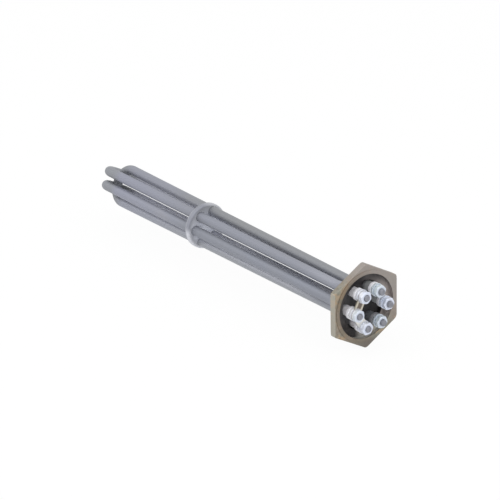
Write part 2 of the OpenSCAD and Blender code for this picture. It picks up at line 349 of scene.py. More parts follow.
plug = {
    "across": 60.0, "thick": 5.5, "ring": 28.6, "ringFoot": 29.2, "front": 6.0, "recess": 25.7,
    "ledge": 2.0, "well": 19.7, "crest": 22.5, "depth": 1.15, "pitch": 2.0, "end": -7.5,
    "chamfer": 0.7, "coneRise": 0.2, "coneRun": 0.1, "trim": 0.25, "round": 0.45, "sides": 180,
    "sharp": 40.0, "backRings": (3.0, 12.0, 18.0), "threadSteps": 46, "threadStop": -0.6,
    "fadeFrom": -1.3, "fadeOver": 0.7, "leadIn": 0.9, "leadSlope": 1.3,
    "neck": ((-0.25, 0.03), (0.0, 0.35)), "seat": 25.5,
    "edgeDepths": (0.0, 0.05, 0.12, 0.22, 0.34, 0.45, 0.65, 0.8, 1.6),
    "frontRounds": (0, 0.1, 0.25, 0.35, 0.6, 0.3, 0.5, 0), "floorRings": (12.0, 3.0),
    "hole": 4.06, "holeSides": 48, "holeEnds": (-9.0, -2.5),
    "look": {
        "large": (55.0, 5.0, 0.6, 0.4), "patch": (85.0, 3.0, 0.55, 0.8), "fine": (380.0, 6.0, 0.65),
        "grain": (1500.0, 3.0, 0.55, 0.0, (3.0, 1.0, 1.0)), "lathe": (420.0, 0.6, 1.0),
        "brown": (0.31, 0.255, 0.205), "olive": (0.285, 0.29, 0.245), "oliveBand": (0.35, 0.68),
        "rust": (0.52, 0.36, 0.22), "rustBand": (0.52, 0.64, 0.6),
        "pale": (0.42, 0.395, 0.36), "paleBand": (0.52, 0.75, 0.5),
        "dark": (0.16, 0.135, 0.11), "darkBand": (0.5, 0.34, 0.4),
        "mauve": (0.37, 0.335, 0.32), "mauveBand": (0.006, 0.038, 0.7), "mauveWander": 0.02,
        "side": (0.50, 0.485, 0.425), "sideBand": (-0.0293, -0.0298, 0.6),
        "low": (0.15, 0.135, 0.125), "lowBand": (-0.017, -0.026, 0.65), "lowWander": 0.01,
        "lowFront": (0.0045, 0.0054),
        "rim": (0.20, 0.155, 0.11), "rimBand": (0.0300, 0.0286, 0.55), "rimFront": (0.0050, 0.0054),
        "rimNear": (0.012, -0.012), "rimBroken": (0.25, 0.6),
        "recess": (0.0260, 0.0257), "recessFloor": (0.0017, 0.0019), "well": (0.0203, 0.0199),
        "wellFloor": (-0.0046, -0.0042), "mouth": (0.0058, 0.0048),
        "wall": (0.36, 0.315, 0.30), "wallLow": (0.44, 0.43, 0.40), "wallLowBand": (-0.010, -0.020),
        "wallShare": 0.8,
        "shade": (0.030, 0.028, 0.029), "shadeBand": (0.006, 0.022, 0.85),
        "deepDark": (0.040, 0.037, 0.039), "deepDarkBand": (0.0046, 0.0034), "deepDarkWander": 0.002, "deepDarkShare": 0.92,
        "dust": (0.10, 0.095, 0.095), "dustNear": (-0.008, -0.016), "dustAbove": (-0.014, -0.008),
        "lightPartFar": (-0.004, 0.012), "lightPartLow": (-0.008, -0.020), "lightPartLowFar": (-0.014, -0.002),
        "lightPartTop": (0.014, 0.022, 0.6), "lightPartLift": 0.0013,
        "metal": 0.9, "wallMetal": 0.6, "deepDarkMetal": 0.6, "rough": 0.42, "fineRough": 0.22, "deepDarkRough": 0.2,
        "bumpShares": (0.6, 0.3, 0.1), "bump": (0.25, 0.0004)}}


def agedBrass(look):
    f = Finish("plug_aged_brass")
    large, patch, fine, grain = (f.cloud(*look[key]) for key in ("large", "patch", "fine", "grain"))
    tone = f.mix(large.ramp(*look["oliveBand"]), look["brown"], look["olive"])
    tone = f.mix(patch.ramp(*look["rustBand"]), tone, look["rust"])
    tone = f.mix(fine.ramp(*look["paleBand"]), tone, look["pale"])
    tone = f.mix(fine.ramp(*look["darkBand"]), tone, look["dark"])

    # inside the recess and the well: the wall, and a near-black tone deep inside on all but the light part
    out = f.out()
    inside = (out.ramp(*look["recess"]) * f.x.ramp(*look["recessFloor"])
              + out.ramp(*look["well"]) * f.x.ramp(*look["wellFloor"])).clip()
    wall = inside * f.x.ramp(*look["mouth"])
    lightPart = (f.y.ramp(*look["lightPartFar"]) + f.z.ramp(*look["lightPartLow"]) * f.y.ramp(*look["lightPartLowFar"])
             + f.z.ramp(*look["lightPartTop"])).clip()
    deepDark = inside * (f.x + large * look["deepDarkWander"] + lightPart * look["lightPartLift"]).ramp(*look["deepDarkBand"])

    # the hexagon: mauve above, pale on the near flat, dark below, and a brown ring
    mauve = (f.y + f.z + large * look["mauveWander"]).ramp(*look["mauveBand"])
    low = (f.z + large * look["lowWander"]).ramp(*look["lowBand"]) * f.x.ramp(*look["lowFront"])
    rim = out.ramp(*look["rimBand"]) * f.x.ramp(*look["rimFront"]) * f.y.ramp(*look["rimNear"])
    tone = f.mix(mauve, tone, look["mauve"])
    tone = f.mix(f.y.ramp(*look["sideBand"]), tone, look["side"])
    tone = f.mix(low, tone, look["low"])
    tone = f.mix(rim * large.ramp(*look["rimBroken"]), tone, look["rim"])

    # the wall tone, lighter low down, then a painted shade at the top of the wall, then the near-black tone
    # deep inside
    wallTone = f.mix(f.z.ramp(*look["wallLowBand"]), look["wall"], look["wallLow"])
    dusty = f.y.ramp(*look["dustNear"]) * f.z.ramp(*look["dustAbove"])
    tone = f.mix(wall * look["wallShare"], tone, wallTone)
    tone = f.mix(f.z.ramp(*look["shadeBand"]) * wall, tone, look["shade"])
    tone = f.mix(deepDark * look["deepDarkShare"], tone, f.mix(dusty, look["deepDark"], look["dust"]))
    scale, warp, detail = look["lathe"]
    lathe = f.add("ShaderNodeTexWave", {"wave_type": "RINGS", "rings_direction": "X"},
                  {"Vector": f.place, "Scale": scale, "Distortion": warp, "Detail": detail})
    shares = look["bumpShares"]
    height = fine * shares[0] + grain * shares[1] + lathe * shares[2]
    metal = look["metal"] - wall * look["wallMetal"] + deepDark * look["deepDarkMetal"]
    rough = look["rough"] + fine * look["fineRough"] + deepDark * look["deepDarkRough"]
    return f.set({"Base Color": tone, "Metallic": metal, "Roughness": rough,
                  "Normal": f.bump(height, *look["bump"])})


def threadRing(x):
    p = plug
    fade = min(1.0, max(0.0, (p["fadeFrom"] - x) / p["fadeOver"]))
    end = p["crest"] - max(0.0, p["end"] + p["leadIn"] - x) * p["leadSlope"]
    root = p["crest"] - p["depth"]
    return lambda a: (x, min(root + p["depth"] * threadWave(x, a, p["pitch"]) * fade, end))


def makePlug(material):
    p = plug
    floor = layout["wellFloor"]
    root = p["crest"] - p["depth"]
    rings = [ringAt(p["end"], r) for r in p["backRings"]]
    for i in range(p["threadSteps"] + 1):
        rings.append(threadRing(p["end"] + i / p["threadSteps"] * (p["threadStop"] - p["end"])))
    rings += [ringAt(x, root + rise) for x, rise in p["neck"]] + [ringAt(0.0, p["seat"])]
    rings += [hexRing(p, t, t) for t in p["edgeDepths"]]
    rings += [hexRing(p, p["thick"] - t, t) for t in p["edgeDepths"][::-1]]
    front = softProfile([(p["thick"], p["ringFoot"]), (p["thick"], p["ring"]), (p["front"], p["ring"]),
                         (p["front"], p["recess"]), (p["ledge"], p["recess"]), (p["ledge"], p["well"]),
                         (floor, p["well"]), (floor, p["floorRings"][0])], p["frontRounds"])
    rings += [ringAt(x, r) for x, r in front] + [ringAt(floor, p["floorRings"][1])]
    body = keepMesh("screwPlug", polarForm(rings, p["sides"]), material, p["sharp"])
    holes = gather(rodForm(*p["holeEnds"], p["hole"], p["holeSides"], onTerminal(k)) for k in turns)
    carve(body, holes, "DIFFERENCE", p["sharp"])
    return fit(body, "plug_brass", "screw_plug")


plugBrass = agedBrass(plug["look"])
screwPlug = makePlug(plugBrass)
print("plug made:", len(screwPlug.data.polygons), "faces")


# dull steel, for the tubes and the plate

steel = {"large": (70.0, 4.0, 0.6, 0.3, (0.35, 1.0, 1.0)), "fine": (900.0, 5.0, 0.6, 0.0, (0.25, 1.0, 1.0)),
         "speck": (650.0, 3.0, 0.7), "warmBand": (0.3, 0.72), "paleBand": (0.5, 0.75, 0.35),
         "darkBand": (0.66, 0.76, 0.4), "highBand": (0.007, 0.014, 0.6), "highFar": (-0.003, 0.003),
         "plugEnd": (-0.07, -0.025, 0.7), "lowBand": (-0.006, -0.014, 0.6), "blueBand": (-0.13, -0.26, 0.6),
         "blueWander": 0.1, "nearBand": (-0.0085, -0.0125, 0.6), "nearFrom": (-0.245, -0.195),
         "insideFrom": (-0.10, -0.17), "insideTo": (-0.309, -0.298), "largeRough": 0.14, "fineRough": 0.08,
         "fineBump": 0.6, "speckBump": 0.4, "bump": (0.06, 0.0002)}


class Steel(Finish):
    def __init__(self, name, look):
        super().__init__(name)
        self.look = look
        self.large, self.fine, self.speck = (self.cloud(*steel[key]) for key in ("large", "fine", "speck"))

    # tones by height, by length and on the near side: a painted shade on the top, with painted light on the
    # near top towards the plug end, painted light on the bottom, and on the near side a painted shade on the
    # tubes and a painted highlight on the plate
    def startTone(self):
        look = self.look
        tone = self.mix(self.large.ramp(*steel["warmBand"]), look["cool"], look["warm"])
        tone = self.mix(self.fine.ramp(*steel["paleBand"]), tone, look["pale"])
        tone = self.mix(self.speck.ramp(*steel["darkBand"]), tone, look["dark"])
        nearHigh = self.mix(self.x.ramp(*steel["plugEnd"]), look["nearHigh"], look["pale"])
        high = self.mix(self.y.ramp(*steel["highFar"]), nearHigh, look["high"])
        along = self.x + self.large * steel["blueWander"]
        tone = self.mix(self.z.ramp(*steel["highBand"]), tone, high)
        tone = self.mix(self.z.ramp(*steel["lowBand"]), tone, look["low"])
        tone = self.mix(along.ramp(*steel["blueBand"]), tone, look["blue"])
        near = self.y.ramp(*steel["nearBand"]) * self.x.ramp(*steel["nearFrom"])
        return self.mix(near, tone, look["near"])

    # a lighter tone towards the axis: painted light in the crevices between the tubes and on the plate face
    # between them
    def insideTone(self, tone, share):
        inner = self.out().ramp(*self.look["insideRadii"]) * self.x.ramp(*steel["insideFrom"])
        return self.mix(inner * self.x.ramp(*steel["insideTo"]) * share, tone, self.look["inside"])

    def done(self, tone, metal):
        rough = self.look["rough"] + self.large * steel["largeRough"] + self.fine * steel["fineRough"]
        height = self.fine * steel["fineBump"] + self.speck * steel["speckBump"]
        return self.set({"Base Color": tone, "Metallic": metal, "Roughness": rough,
                         "Normal": self.bump(height, *steel["bump"])})


# hairpin elements: swept tubes with a smooth slope behind the plug

hairpins = {
    "radius": 4.0, "sides": 40, "sharp": 40.0, "straight": (4.0, 0.0, -6.0, -8.0),
    "slopeStart": -9.0, "slopeEnd": -21.0, "slopeInset": 0.8, "slopeSteps": 14,
    "legLead": 4.0, "legSteps": 40, "upper": -319.5, "lower": -317.0, "cross": -306.0,
    "splay": 0.45, "bendSteps": 40,
    "look": {
        "cool": (0.30, 0.315, 0.37), "warm": (0.33, 0.335, 0.37), "pale": (0.39, 0.40, 0.45),
        "dark": (0.21, 0.21, 0.23),
        "high": (0.245, 0.25, 0.245), "nearHigh": (0.265, 0.275, 0.32), "low": (0.42, 0.435, 0.45),
        "blue": (0.315, 0.325, 0.40), "near": (0.245, 0.26, 0.30),
        "tips": (0.275, 0.285, 0.285), "tipsBand": (-0.296, -0.308, 0.6), "tipsWander": 0.01,
        "inside": (0.66, 0.67, 0.73), "insideRadii": (0.0118, 0.0090), "insideShare": 0.45,
        "bends": (-0.316, -0.300),
        "flankTurn": 33.0, "flankBand": (0.0042, 0.0018, 0.6), "flankFrom": (-0.03, -0.08),
        "betweenBand": (0.0034, 0.0012, 0.35), "betweenAbove": (0.004, 0.007),
        "betweenFrom": (-0.175, -0.205),
        "bendShade": (0.09, 0.095, 0.11), "bendShadeSpot": (-0.3180, 0.0, 0.0), "bendShadeReach": (0.0055, 0.0085, 0.5),
        "end": (0.97, 0.95, 0.99), "farEnd": (0.42, 0.43, 0.43), "farBand": (-0.002, 0.004),
        "recess": (-0.003, 0.001), "endShare": 0.9, "endMetal": 0.95,
        "shadedTerminals": {"tone": (0.09, 0.095, 0.11), "x": 0.002, "reach": (0.0060, 0.0075), "shares": {6: 0.75}},
        "metal": 0.6, "rough": 0.46}}


def tubeSteel(look):
    f = Steel("sheath_dull_steel", look)
    tone = f.startTone()
    tone = f.mix((f.x + f.large * look["tipsWander"]).ramp(*look["tipsBand"]), tone, look["tips"])
    tone = f.insideTone(tone, look["insideShare"])

    # painted light: lighter flanks where two tubes face each other, up to the bends
    a = math.radians(look["flankTurn"])
    straight = f.x.ramp(*look["bends"])
    aside = (f.y * math.sin(a) - f.z * math.cos(a)).size()
    flank = aside.ramp(*look["flankBand"]) * f.x.ramp(*look["flankFrom"])
    between = (f.y.size().ramp(*look["betweenBand"]) * f.z.ramp(*look["betweenAbove"])
               * f.x.ramp(*look["betweenFrom"]))
    tone = f.mix(flank * straight, tone, look["inside"])
    tone = f.mix(between * straight, tone, look["inside"])
    # painted shade at the middle of the cross bend, where it sits among the other bends
    tone = f.mix(f.near(look["bendShadeSpot"], *look["bendShadeReach"]), tone, look["bendShade"])

    # painted light on the sheath ends in the recess, near white on the near side and darker on the far side,
    # then painted shade on terminal 6
    inRecess = f.x.ramp(*look["recess"])
    endTone = f.mix(f.y.ramp(*look["farBand"]), look["end"], look["farEnd"])
    tone = f.mix(inRecess * look["endShare"], tone, endTone)
    tone = f.atTerminals(tone, look["shadedTerminals"])
    return f.done(tone, look["metal"] * (1.0 - inRecess * look["endMetal"]))


def legPath(degrees, endX, splay):
    h = hairpins
    outer, inner = layout["terminalRadius"], layout["bundleRadius"]
    lean = math.tan(math.radians(splay))
    out = [radial(x, outer, degrees) for x in (layout["sheathEnd"], *h["straight"])]
    for i in range(h["slopeSteps"] + 1):
        t = i / h["slopeSteps"]
        s = t * t * (3 - 2 * t)
        x = h["slopeStart"] + h["slopeInset"] + t * (h["slopeEnd"] - h["slopeStart"] - 2 * h["slopeInset"])
        out.append(radial(x, outer + s * (inner - outer), degrees))
    start = h["slopeEnd"] - h["legLead"]
    for i in range(h["legSteps"] + 1):
        x = start + i / h["legSteps"] * (endX - start)
        out.append(radial(x, inner + (h["slopeEnd"] - x) * lean, degrees))
    return out


def longPath(first, second, middle, endX):
    reach, offset = layout["bundleRadius"] * math.sin(math.pi / 3), layout["bundleRadius"] / 2
    along = Vector(radial(0.0, 1.0, middle + 90))
    centre = Vector(radial(endX, offset, middle))
    bend = []
    for i in range(1, hairpins["bendSteps"]):
        t = math.pi * i / hairpins["bendSteps"]
        bend.append(tuple(centre + along * (reach * math.cos(t)) - Vector((reach * math.sin(t), 0, 0))))
    return legPath(first, endX, 0.0) + bend + legPath(second, endX, 0.0)[::-1]


def crossPath(first, second):
    h = hairpins
    lean = math.radians(h["splay"])
    reach = layout["bundleRadius"] * math.cos(lean) + (h["slopeEnd"] - h["cross"]) * math.sin(lean)
    bend = []
    for i in range(1, h["bendSteps"]):
        t = math.pi / 2 - lean + (math.pi + 2 * lean) * i / h["bendSteps"]
        bend.append(radial(h["cross"] + reach * math.cos(t), reach * math.sin(t), first))
    endX = h["cross"] + reach * math.sin(lean)
    return legPath(first, endX, h["splay"]) + bend + legPath(second, endX, h["splay"])[::-1]


sheathSteel = tubeSteel(hairpins["look"])
paths = {"upper": longPath(turns[1], turns[3], turns[2], hairpins["upper"]),
         "lower": longPath(turns[6], turns[4], turns[5], hairpins["lower"]),
         "cross": crossPath(turns[2], turns[5])}
for name, path in paths.items():
    tubeForm = sweepForm(path, hairpins["radius"], hairpins["sides"])
    tube = keepMesh("hairpin" + name.title(), tubeForm, sheathSteel, hairpins["sharp"])
    fit(tube, "sheath_steel", "hairpin_" + name)
print("hairpins swept")


# bright metal, for the braze, studs, nuts, washers, link and coils

bright = {"blot": (190.0, 4.0, 0.6, 0.5), "fine": (1600.0, 4.0, 0.6), "paleBand": (0.36, 0.7),
          "dullBand": (0.6, 0.78, 0.4), "faceShadeBand": (0.6, 0.95, 0.7), "blotRough": 0.15, "fineRough": 0.08,
          "bump": (0.15, 0.0002)}


def brightPlate(name, look):
    f = Finish(name)
    blot, fine = f.cloud(*bright["blot"]), f.cloud(*bright["fine"])
    tone = f.mix(blot.ramp(*bright["paleBand"]), look["cool"], look["pale"])
    if "tinted" in look:
        tone = f.atTerminals(tone, look["tinted"])
    tone = f.mix(fine.ramp(*bright["dullBand"]), tone, look["dull"])
    # painted light on some terminals and painted shade on others
    for key in ("litTerminals", "shadedTerminals"):
        if key in look:
            tone = f.atTerminals(tone, look[key])
    # painted shade on the faces that point out of the front of the plug
    if "face" in look:
        tone = f.mix(f.faceOn().ramp(*bright["faceShadeBand"]), tone, look["face"])
    return f.set({"Base Color": tone, "Metallic": look["metal"],
                  "Roughness": look["rough"] + blot * bright["blotRough"] + fine * bright["fineRough"],
                  "Normal": f.bump(fine, *bright["bump"])})


# braze: a small fillet round each tube behind the plug

braze = {
    "leg": 1.3, "inner": 3.9, "sink": 0.3, "thinnest": 0.001, "steps": 8, "sides": 48,
    "waves": (3, 7), "waveHeights": (0.12, 0.06),
    "look": {
        "cool": (0.42, 0.40, 0.35), "pale": (0.55, 0.53, 0.48), "dull": (0.25, 0.23, 0.20),
        "metal": 0.95, "rough": 0.35}}


def brazeForm(k):
    b = braze
    tube = hairpins["radius"]
    profile = [(plug["end"] + b["sink"], b["inner"])]
    for i in range(b["steps"] + 1):
        t = math.pi / 2 * i / b["steps"]
        profile.append((plug["end"] - b["leg"] * (1 - math.cos(t)) * (1 - b["thinnest"]),
                        tube + b["leg"] * (1 - math.sin(t))))
    profile.append((plug["end"] - b["leg"], b["inner"]))

    def wavy(x, r):
        high = max(0.0, r - tube)
        slow, quick = (high * share for share in b["waveHeights"])
        first, second = b["waves"]
        return lambda a: (x, r + slow * math.sin(first * a + k) + quick * math.sin(second * a))
    return polarForm([wavy(x, r) for x, r in profile], b["sides"], onTerminal(k), closed=True)


brazeMetal = brightPlate("braze_metal", braze["look"])
fit(keepMesh("brazeFillets", gather(brazeForm(k) for k in turns), brazeMetal), "plug_brass")
print("braze made")


# dry bodies, for the compound, bushes and powder

dry = {"blot": (240.0, 4.0, 0.6, 0.3), "fine": (2200.0, 4.0, 0.6), "secondBand": (0.32, 0.7),
       "speckBand": (0.58, 0.8, 0.5), "dustBand": (-0.005, -0.013, 0.7), "fineRough": 0.15,
       "fineBump": 0.5, "blotBump": 0.5, "bump": (0.3, 0.0003)}


def dryBody(name, look):
    f = Finish(name)
    blot, fine = f.cloud(*dry["blot"]), f.cloud(*dry["fine"])
    tone = f.mix(blot.ramp(*dry["secondBand"]), look["first"], look["second"])
    tone = f.mix(fine.ramp(*dry["speckBand"]), tone, look["speck"])
    # painted shade on some terminals
    if "shadedTerminals" in look:
        tone = f.atTerminals(tone, look["shadedTerminals"])
    if "dust" in look:
        tone = f.mix(f.y.ramp(*dry["dustBand"]), tone, look["dust"])
    height = fine * dry["fineBump"] + blot * dry["blotBump"]
    return f.set({"Base Color": tone, "Specular IOR Level": look["gloss"],
                  "Roughness": look["rough"] + fine * dry["fineRough"],
                  "Normal": f.bump(height, *dry["bump"])})


# sealing compound: a poured disc that creeps up the tubes and the wall

compound = {
    "outer": 19.65, "creep": 0.45, "fall": 0.8, "uneven": 0.12, "unevenScale": 0.35,
    "unevenLayer": 2.0, "sides": 120, "rings": 34, "sharp": 60.0, "clear": 0.02, "floorCap": 1.0,
    "topCap": 0.2, "holeEnds": (-5.0, 0.0), "holeSides": 48,
    "look": {
        "first": (0.032, 0.030, 0.032), "second": (0.052, 0.049, 0.050),
        "speck": (0.09, 0.085, 0.08), "dust": (0.10, 0.098, 0.10), "rough": 0.55, "gloss": 0.15}}


def compoundRing(r):
    c = compound
    tube = hairpins["radius"]

    def ring(a):
        y, z = r * math.cos(a), r * math.sin(a)
        gaps = [abs(math.hypot(y - t[0], z - t[1]) - tube) for t in map(onTerminal, turns)]
        near = min([c["outer"] - r] + gaps)
        lift = c["creep"] * math.exp(-near / c["fall"])
        wave = noise.noise((y * c["unevenScale"], z * c["unevenScale"], c["unevenLayer"]))
        return (layout["compoundTop"] + lift + c["uneven"] * wave, r)
    return ring


def makeCompound(material):
    c = compound
    floor = layout["wellFloor"] + c["clear"]
    rings = [ringAt(floor, c["floorCap"]), ringAt(floor, c["outer"]), compoundRing(c["outer"])]
    rings += [compoundRing(c["outer"] * (1 - i / c["rings"]) + c["topCap"]) for i in range(1, c["rings"])]
    body = keepMesh("sealingCompound", polarForm(rings, c["sides"]), material, c["sharp"])
    holes = gather(rodForm(*c["holeEnds"], hairpins["radius"], c["holeSides"], onTerminal(k)) for k in turns)
    carve(body, holes, "DIFFERENCE", c["sharp"])
    return fit(body, "black_compound", "sealing_compound")


makeCompound(dryBody("black_compound", compound["look"]))
print("compound poured")


# support plate: a pressed disc with a turned rim and six punched holes

plate = {
    "front": -195.0, "radius": 18.8, "sheet": 1.2, "rim": 4.0, "edge": 1.6, "lip": 0.25, "cap": 2.0,
    "sides": 120, "roundSteps": 6, "sharp": 40.0, "hole": 4.2, "holeSides": 48, "holeEnds": (-2.5, 1.0),
    "look": {
        "cool": (0.34, 0.355, 0.40), "warm": (0.36, 0.37, 0.40), "pale": (0.46, 0.47, 0.51),
        "dark": (0.23, 0.23, 0.24),
        "high": (0.23, 0.235, 0.25), "nearHigh": (0.23, 0.235, 0.25), "low": (0.55, 0.56, 0.60),
        "blue": (0.37, 0.38, 0.42), "near": (0.42, 0.43, 0.47),
        "inside": (0.84, 0.865, 0.95), "insideRadii": (0.018, 0.010), "insideShare": 0.9,
        "insideTop": (0.003, 0.010, 0.5),
        "edge": (0.255, 0.265, 0.31), "edgeRadii": (0.0160, 0.0180, 0.85), "edgeDepth": (-0.1990, -0.1975),
        "farEdge": (0.47, 0.48, 0.51), "farBand": (-0.004, 0.006), "lowEdge": (0.63, 0.64, 0.69),
        "lowEdgeBand": (0.004, -0.003), "metal": 0.3, "rough": 0.42}}


def plateSteel(look):
    f = Steel("plate_pressed_steel", look)
    tone = f.insideTone(f.startTone(), look["insideShare"] - f.z.ramp(*look["insideTop"]))
    # painted highlight on the rounded front edge: dark on the near top, lighter on the far side, lightest at
    # the bottom
    edgeLight = f.mix(f.y.ramp(*look["farBand"]), look["edge"], look["farEdge"])
    edgeLight = f.mix(f.z.ramp(*look["lowEdgeBand"]), edgeLight, look["lowEdge"])
    tone = f.mix(f.out().ramp(*look["edgeRadii"]) * f.x.ramp(*look["edgeDepth"]), tone, edgeLight)
    return f.done(tone, look["metal"])


def makePlate(material):
    p = plate
    back, inner = p["front"] - p["rim"], p["radius"] - p["sheet"]
    behind = p["front"] - p["sheet"]
    corners = [(p["front"], p["cap"]), (p["front"], p["radius"]), (back, p["radius"]), (back, inner),
               (behind, inner), (behind, p["cap"])]
    rounds = [0, p["edge"], p["lip"], p["lip"], p["edge"] - p["sheet"], 0]
    profile = softProfile(corners, rounds, steps=p["roundSteps"])
    body = keepMesh("supportPlate", turnedForm(profile, p["sides"]), material, p["sharp"])
    middle = p["front"] - p["sheet"] / 2
    lean = math.tan(math.radians(hairpins["splay"]))
    low, high = (p["front"] + end for end in p["holeEnds"])
    holes = []
    for k, degrees in turns.items():
        out = layout["bundleRadius"]
        if k in layout["crossed"]:
            out += (hairpins["slopeEnd"] - middle) * lean
        holes.append(rodForm(low, high, p["hole"], p["holeSides"], radial(0.0, out, degrees)[1:]))
    carve(body, gather(holes), "DIFFERENCE", p["sharp"])
    return fit(body, "plate_steel", "support_plate")


makePlate(plateSteel(plate["look"]))
print("plate pressed")


# terminals: threaded studs on cold pins, bushes, nuts and washers

stud = {
    "radius": 2.5, "depth": 0.26, "pitch": 0.8, "chamfer": 0.5, "sides": 40, "sharp": 45.0,
    "turnSteps": 8, "footCap": 0.8, "tipRings": (1.5, 0.5), "pin": 1.6, "pinEnd": -60.0, "pinSides": 20,
    "look": {
        "cool": (0.23, 0.235, 0.27), "pale": (0.30, 0.305, 0.34), "dull": (0.15, 0.15, 0.17),
        "metal": 0.7, "rough": 0.4}}


def studForm(k):
    s = stud
    base, tip = layout["sheathEnd"], layout["studTip"]
    rings = [ringAt(base, s["footCap"]), ringAt(base, s["radius"] - s["depth"])]
    steps = int((tip - base) / s["pitch"] * s["turnSteps"])

    def threaded(x):
        end = s["radius"] - max(0.0, x - (tip - s["chamfer"]))
        return lambda a: (x, min(s["radius"] - s["depth"] * (1 - threadWave(x, a, s["pitch"])), end))
    rings += [threaded(base + i / steps * (tip - base)) for i in range(1, steps + 1)]
    rings += [ringAt(tip, r) for r in s["tipRings"]]
    splay = hairpins["splay"] if k in layout["crossed"] else 0.0
    leg = [p for p in legPath(turns[k], hairpins["cross"], splay) if p[0] > s["pinEnd"]]
    return gather([polarForm(rings, s["sides"], onTerminal(k)), sweepForm(leg, s["pin"], s["pinSides"])])


bush = {
    "outer": 5.0, "spigot": 3.15, "foot": 1.4, "studHole": 2.6, "pinHole": 1.75, "step": 0.15,
    "sides": 56, "rounds": (0, 0.15, 0, 0.15, 0.3, 0.1, 0, 0),
    "look": {
        "first": (0.90, 0.90, 0.94), "second": (0.84, 0.84, 0.89), "speck": (0.70, 0.70, 0.74),
        "shadedTerminals": {"tone": (0.14, 0.14, 0.15), "x": 0.0067, "reach": (0.0055, 0.0065),
                   "shares": {3: 0.25, 6: 0.8}}, "rough": 0.4, "gloss": 0.5}}


def bushForm(k):
    b = bush
    end, top = layout["sheathEnd"], layout["bushTop"]
    step = end - b["step"]
    profile = softProfile([(b["foot"], b["pinHole"]), (b["foot"], b["spigot"]), (end, b["spigot"]),
                           (end, b["outer"]), (top, b["outer"]), (top, b["studHole"]), (step, b["studHole"]),
                           (step, b["pinHole"])], b["rounds"], closed=True)
    return turnedForm(profile, b["sides"], onTerminal(k), closed=True)


nut = {
    "across": 9.0, "outer": 3.2, "hole": 2.46, "mouth": 0.4, "chamfer": 0.55, "coneRise": 0.15,
    "coneRun": 0.1, "trim": 0.12, "round": 0.12, "sides": 72, "sharp": 30.0,
    "edgeDepths": (0.0, 0.04, 0.12, 0.28, 0.45, 0.65),
    "turns": {1: 12, 2: 40, 3: 25, 4: 5, 5: 33, 6: 18}, "clampTurn": 0.4, "lockTurns": 3,
    "look": {
        "cool": (0.77, 0.82, 0.95), "pale": (0.88, 0.91, 0.98), "dull": (0.64, 0.68, 0.76),
        "face": (0.58, 0.62, 0.73), "metal": 0.4, "rough": 0.36,
        "tinted": {"tone": (0.64, 0.73, 0.74), "x": 0.012, "reach": (0.006, 0.009),
                   "shares": {2: 0.75, 4: 0.4, 6: 0.7}},
        "litTerminals": {"tone": (0.95, 0.95, 0.98), "x": 0.009, "reach": (0.0054, 0.0062),
                     "shares": {1: 0.6, 4: 0.9, 5: 0.5}},
        "shadedTerminals": {"tone": (0.20, 0.205, 0.22), "x": 0.008, "reach": (0.0050, 0.0060),
                   "shares": {6: 0.5}}}}
washer = {"outer": 5.2, "hole": 2.65, "sides": 56, "rounds": (0, 0.2, 0.2, 0.1)}
lockWasher = {"outer": 4.2, "hole": 2.65, "thick": 0.9, "cut": 1.0, "sides": 48,
              "rounds": (0.1, 0.12, 0.12, 0.1), "roundSteps": 2}


def nutForm(low, high, centre, turn):
    n = nut
    rings = [ringAt(low, n["hole"] + n["mouth"])]
    rings += [hexRing(n, low + t, t) for t in n["edgeDepths"]]
    rings += [hexRing(n, high - t, t) for t in n["edgeDepths"][::-1]]
    rings += [ringAt(high, n["hole"] + n["mouth"]), ringAt(high - n["mouth"], n["hole"]),
              ringAt(low + n["mouth"], n["hole"])]
    return polarForm(rings, n["sides"], centre, turn, closed=True)


def washerSection(size, low, high, steps=4):
    corners = [(low, size["hole"]), (low, size["outer"]), (high, size["outer"]), (high, size["hole"])]
    return softProfile(corners, size["rounds"], closed=True, steps=steps)


def washerForm(low, high, centre):
    return turnedForm(washerSection(washer, low, high), washer["sides"], centre, closed=True)


# a cut ring
def lockForm(low, high, centre, turn):
    w = lockWasher
    gap = w["cut"] / w["outer"] / 2
    section = washerSection(w, low, high, w["roundSteps"])
    verts, faces = [], []
    count = len(section)
    for k in range(w["sides"] + 1):
        a = turn + gap + (2 * math.pi - 2 * gap) * k / w["sides"]
        verts += [(x, centre[0] + r * math.cos(a), centre[1] + r * math.sin(a)) for x, r in section]
    for k in range(w["sides"]):
        for i in range(count):
            j = (i + 1) % count
            faces.append((k * count + i, k * count + j, (k + 1) * count + j, (k + 1) * count + i))
    faces += [tuple(range(count)), tuple(w["sides"] * count + i for i in range(count))]
    return verts, faces


def makeTerminals():
    zinc = brightPlate("nut_zinc_plate", nut["look"])
    studMetal = brightPlate("stud_dull_plate", stud["look"])
    ceramic = dryBody("bush_ceramic", bush["look"])
    clampNuts, outerNuts, flats, locks = [], [], [], []
    for k in turns:
        centre = onTerminal(k)
        seat = layout["linkTop"] if k in layout["linked"] else layout["washerTop"]
        top = seat + lockWasher["thick"]
        turn = math.radians(nut["turns"][k])
        clampNuts.append(nutForm(layout["bushTop"], layout["clampTop"], centre, turn + nut["clampTurn"]))
        flats.append(washerForm(layout["clampTop"], layout["washerTop"], centre))
        locks.append(lockForm(seat, top, centre, turn * nut["lockTurns"]))
        outerNuts.append(nutForm(top, top + nut["outer"], centre, turn))
        pin = keepMesh(f"terminalStud{k}", studForm(k), studMetal, stud["sharp"])
        fit(pin, "stud_steel", f"terminal_pin_{k}")
        fit(keepMesh(f"insulatingBush{k}", bushForm(k), ceramic), "bush_ceramic", f"insulator_{k}")
    sets = (("clampNuts", clampNuts, "clamp_nuts"), ("outerNuts", outerNuts, "terminal_nuts"),
            ("flatWashers", flats, "flat_washers"), ("lockWashers", locks, "lock_washers"))
    for name, forms, node in sets:
        fit(keepMesh(name, gather(forms), zinc, nut["sharp"]), "zinc_steel", node)


makeTerminals()
print("terminals made")


# star link: a flat strip over three studs, with rounded edges

